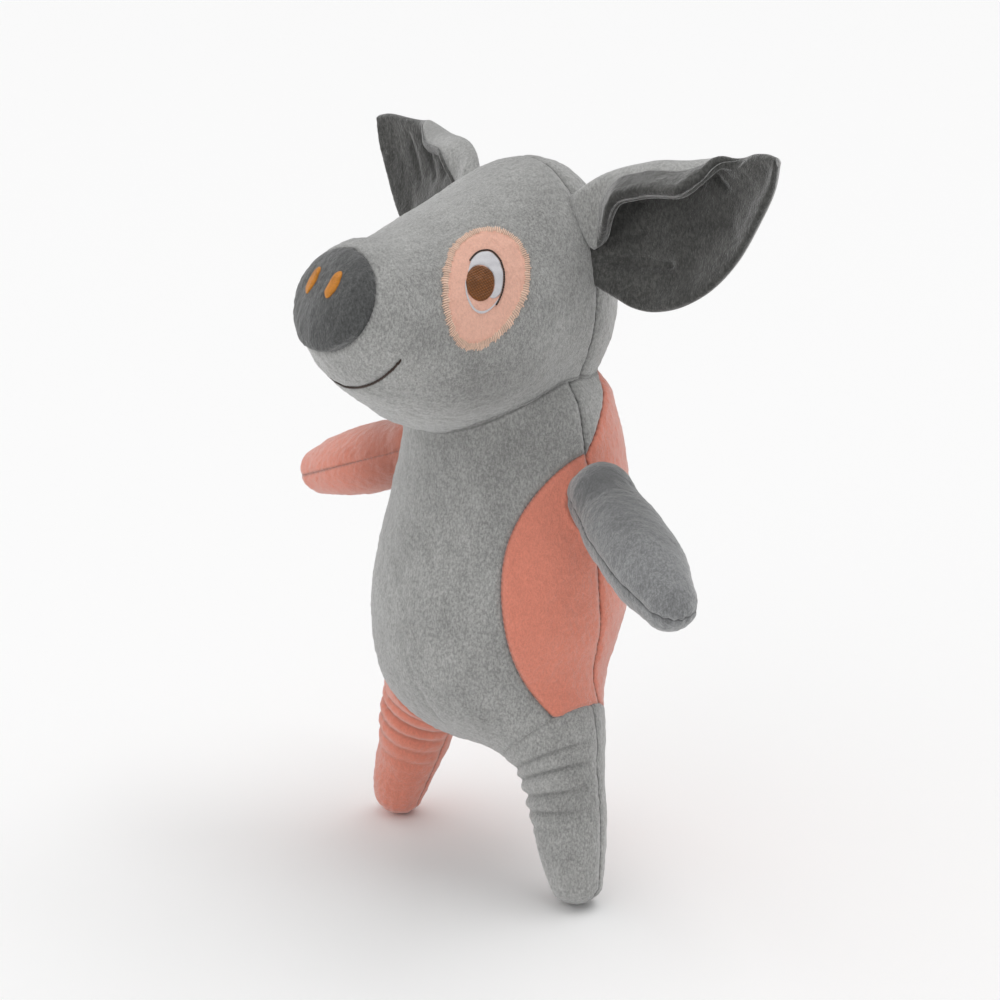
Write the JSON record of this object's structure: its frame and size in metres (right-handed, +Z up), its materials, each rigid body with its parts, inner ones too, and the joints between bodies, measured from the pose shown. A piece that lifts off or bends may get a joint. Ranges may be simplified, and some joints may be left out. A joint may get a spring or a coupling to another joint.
{
  "type": "plush pig",
  "caption": "Standing stuffed pig sewn from short-pile plush panels, with long ears, stubby arms, tapering legs and an embroidered face.",
  "frame": {"origin": "on the floor, under the middle of the toy's bounding box", "axes": "+Z up, the snout looks along -Y, the pig's left side is +X"},
  "size_m": [0.2552, 0.1526, 0.3016],
  "materials": {
    "grey_plush": "short grey pile with a pale sheen",
    "dark_plush": "short charcoal pile",
    "arm_plush": "short dark grey pile",
    "pink_plush": "short coral pink pile",
    "fibre": "loose white fibre filling",
    "orange_thread": "satin stitch",
    "white_thread": "satin stitch",
    "brown_thread": "satin stitch",
    "dark_thread": "stitched line",
    "pink_thread": "satin stitch"
  },
  "bodies": {
    "torso": {"belly_panel": "grey_plush", "flank_patch_left": "pink_plush", "back_panel_left": "pink_plush", "shoulder_yoke_left": "grey_plush", "back_panel_right": "grey_plush", "torso_stuffing": "fibre", "face_panel": "grey_plush", "head_back_panel": "grey_plush", "nose_disc": "dark_plush", "head_stuffing": "fibre", "nostril_left": "orange_thread", "nostril_right": "orange_thread", "mouth_stitch": "dark_thread", "iris_left": "brown_thread", "eye_white_left": "white_thread", "eye_outline_left": "dark_thread", "eye_patch_left": "pink_plush", "eye_patch_border_left": "pink_thread", "iris_right": "brown_thread", "eye_white_right": "white_thread", "eye_outline_right": "dark_thread"},
    "ear_left": {"ear_outer_left": "grey_plush", "ear_inner_left": "dark_plush"},
    "arm_left": {"arm_top_left": "arm_plush", "arm_bottom_left": "arm_plush", "arm_stuffing_left": "fibre"},
    "leg_left": {"leg_front_left": "grey_plush", "leg_back_left": "grey_plush", "leg_stuffing_left": "fibre"},
    "ear_right": {"ear_outer_right": "grey_plush", "ear_inner_right": "dark_plush"},
    "arm_right": {"arm_top_right": "pink_plush", "arm_bottom_right": "pink_plush", "arm_stuffing_right": "fibre"},
    "leg_right": {"leg_front_right": "pink_plush", "leg_back_right": "pink_plush", "leg_stuffing_right": "fibre"},
    "tail": {"tail": "grey_plush"}
  },
  "joints": [
    {"name": "shoulder_left", "type": "hinge", "parent": "torso", "child": "arm_left", "pos_m": [0.05934, 0.01977, 0.166], "axis": [0, -1, 0], "range_deg": [-15, 40], "stiffness_Nm_per_rad": 0.02},
    {"name": "shoulder_right", "type": "hinge", "parent": "torso", "child": "arm_right", "pos_m": [-0.05645, 0.01977, 0.166], "axis": [0, 1, 0], "range_deg": [-15, 40], "stiffness_Nm_per_rad": 0.02},
    {"name": "hip_left", "type": "hinge", "parent": "torso", "child": "leg_left", "pos_m": [0.04474, 0.01158, 0.0635], "axis": [-1, 0, 0], "range_deg": [-20, 25], "stiffness_Nm_per_rad": 0.15},
    {"name": "hip_right", "type": "hinge", "parent": "torso", "child": "leg_right", "pos_m": [-0.04186, 0.01158, 0.0635], "axis": [-1, 0, 0], "range_deg": [-20, 25], "stiffness_Nm_per_rad": 0.15},
    {"name": "ear_root_left", "type": "hinge", "parent": "torso", "child": "ear_left", "pos_m": [0.03848, 0.02978, 0.2625], "axis": [-0.3486, 0, 0.9373], "range_deg": [-18, 18], "stiffness_Nm_per_rad": 0.006},
    {"name": "ear_root_right", "type": "hinge", "parent": "torso", "child": "ear_right", "pos_m": [-0.0356, 0.02978, 0.2625], "axis": [0.3486, 0, 0.9373], "range_deg": [-18, 18], "stiffness_Nm_per_rad": 0.006},
    {"name": "tail_root", "type": "hinge", "parent": "torso", "child": "tail", "pos_m": [0.00144, 0.05822, 0.092], "axis": [0, 0, 1], "range_deg": [-25, 25], "stiffness_Nm_per_rad": 0.003}
  ]
}
